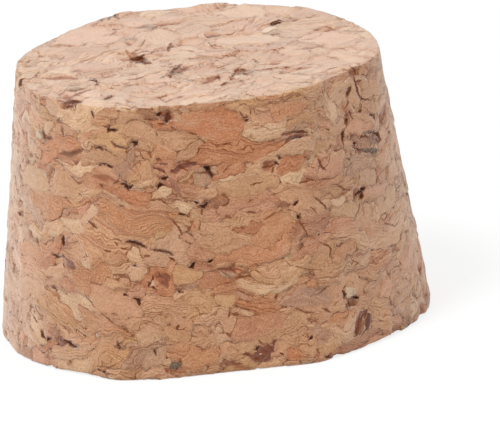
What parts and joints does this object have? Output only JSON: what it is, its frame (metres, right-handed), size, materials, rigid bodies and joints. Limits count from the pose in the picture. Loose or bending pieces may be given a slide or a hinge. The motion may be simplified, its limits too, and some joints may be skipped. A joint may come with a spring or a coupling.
{
  "type": "cork stopper",
  "caption": "Short tapered stopper cut from pressed cork granules, pushed small end first into the mouth of a jar, vial or flask.",
  "frame": {"origin": "centre of the large end, on which the stopper stands", "axes": "+Z along the stopper's own axis from the large end to the small end, -Y towards the front"},
  "size_m": [0.029, 0.0284, 0.0185],
  "materials": {
    "cork": "matt pressed cork granules with open pores and fine dark seams"
  },
  "bodies": {
    "root": {"stopper": "cork"}
  },
  "joints": []
}
